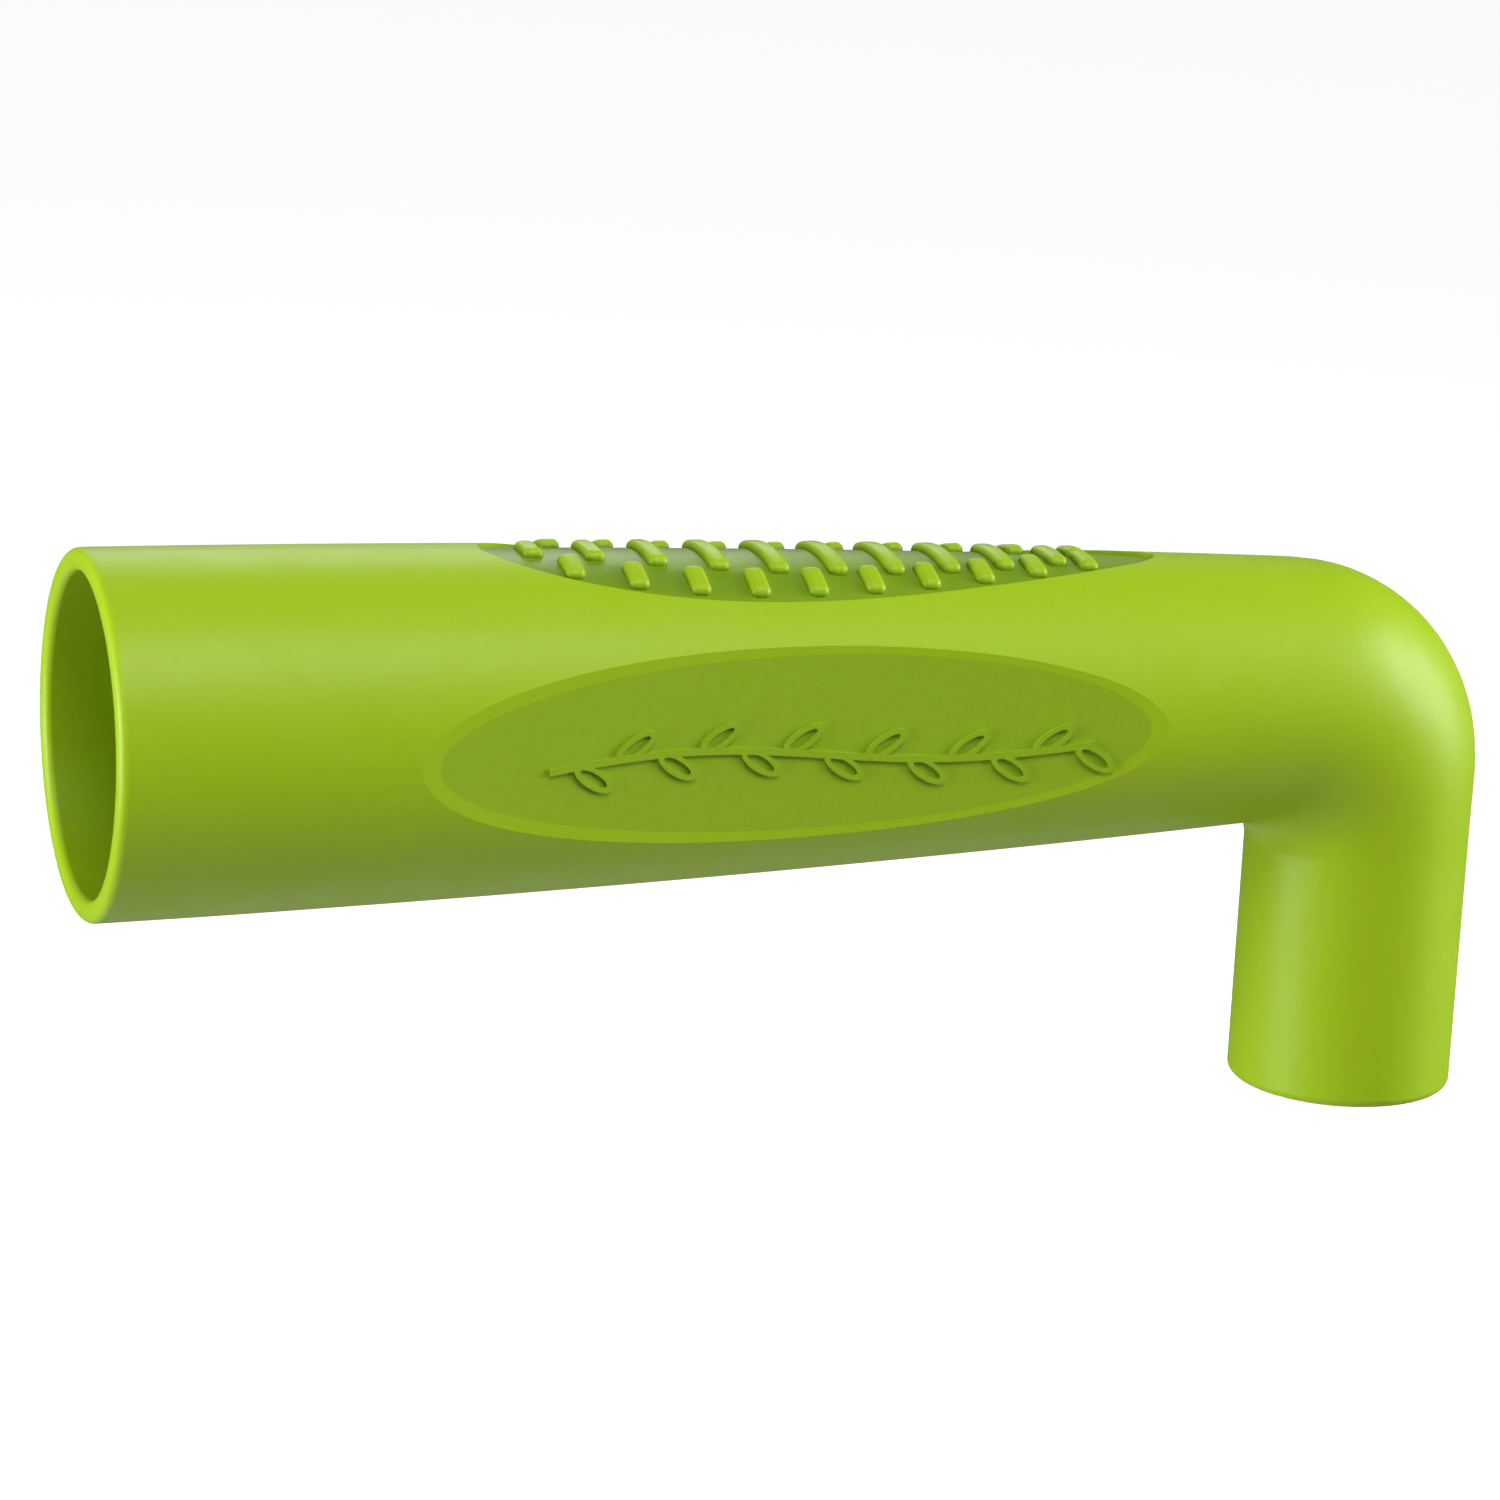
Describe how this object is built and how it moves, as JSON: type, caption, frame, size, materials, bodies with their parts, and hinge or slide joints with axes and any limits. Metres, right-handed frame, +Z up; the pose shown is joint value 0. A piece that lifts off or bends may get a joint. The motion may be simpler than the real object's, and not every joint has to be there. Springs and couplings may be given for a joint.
{
  "type": "angled pouring spout",
  "caption": "Hollow tapered grip barrel with a push-on socket at its wide mouth, side finger scoops, a ribbed strip on top, and a right-angle elbow into a short round outlet leg.",
  "frame": {"origin": "centre of the mouth socket's seat, where a pipe pushed into the mouth stops", "axes": "+X along the barrel away from the open mouth, +Z up, the outlet leg points down -Z, and XZ is the mirror plane"},
  "size_m": [0.1634, 0.04, 0.0672],
  "materials": {
    "body": "satin moulded plastic with a fine spark-eroded grain",
    "grip": "soft satin elastomer, second shot, same colour as the body",
    "pad": "soft matte elastomer, second shot, same colour as the body"
  },
  "bodies": {
    "root": {"spout_body": "body", "nub_strip": "grip", "thumb_pad_left": "pad", "thumb_pad_right": "pad"}
  },
  "joints": []
}
